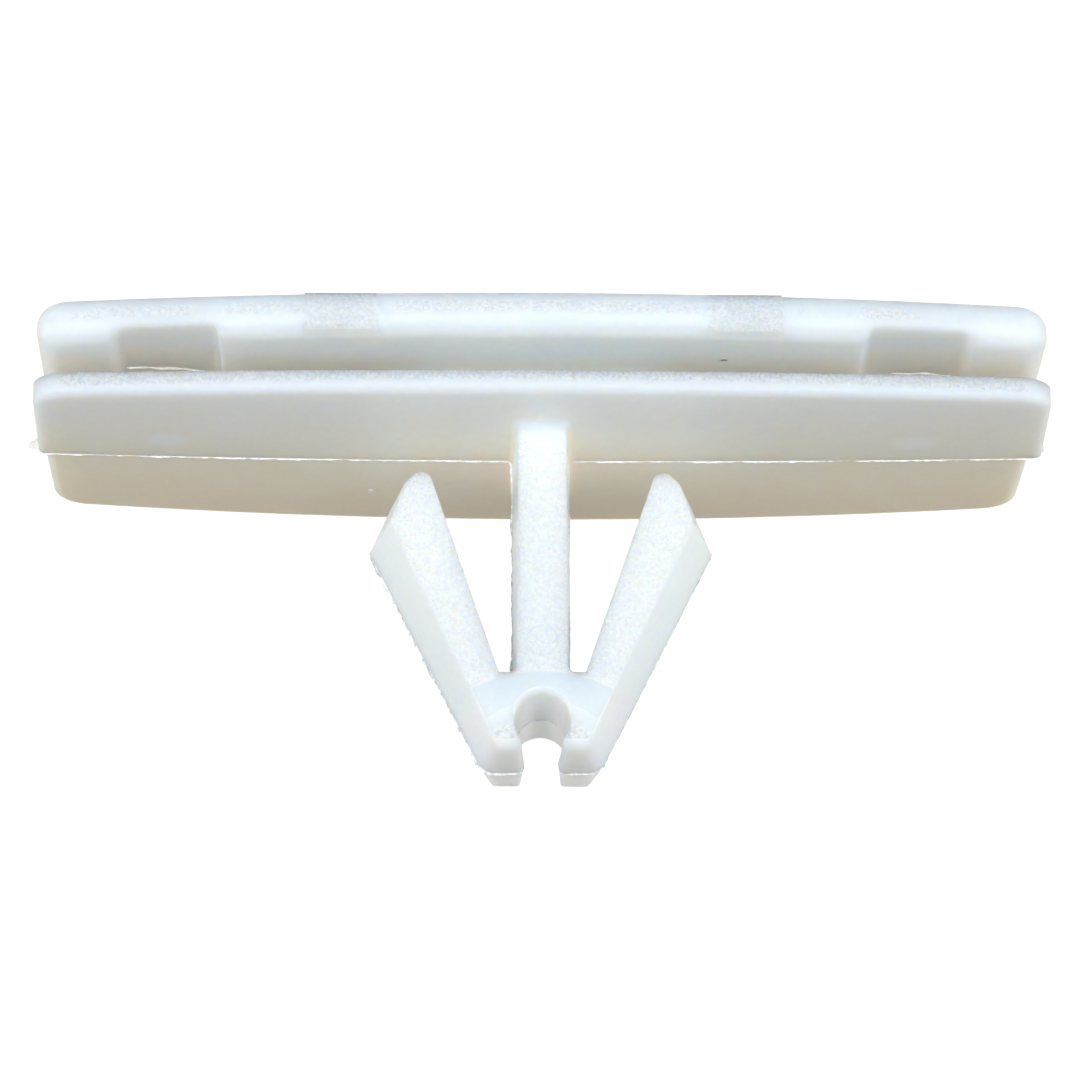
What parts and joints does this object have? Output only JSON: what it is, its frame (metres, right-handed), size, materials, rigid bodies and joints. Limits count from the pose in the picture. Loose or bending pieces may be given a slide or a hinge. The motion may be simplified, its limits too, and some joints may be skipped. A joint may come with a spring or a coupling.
{
  "type": "fender flare clip",
  "caption": "One-piece moulded clip: long head plate and seat plate with a panel groove between them, and a springy W-shaped anchor that snaps into a slot in the body panel.",
  "frame": {"origin": "centre of the flat outer face of the head plate, which the clip stands on", "axes": "+X along the plates, +Z from the head plate towards the nose of the anchor, Y through the anchor's depth with the parting plane at Y = 0 and the ejector pads on the -Y edge"},
  "size_m": [0.0504, 0.0178, 0.0223],
  "materials": {
    "natural_nylon": "satin natural nylon, translucent white, spark-eroded texture on faces and pads"
  },
  "bodies": {
    "root": {"clip_body": "natural_nylon"}
  },
  "joints": []
}
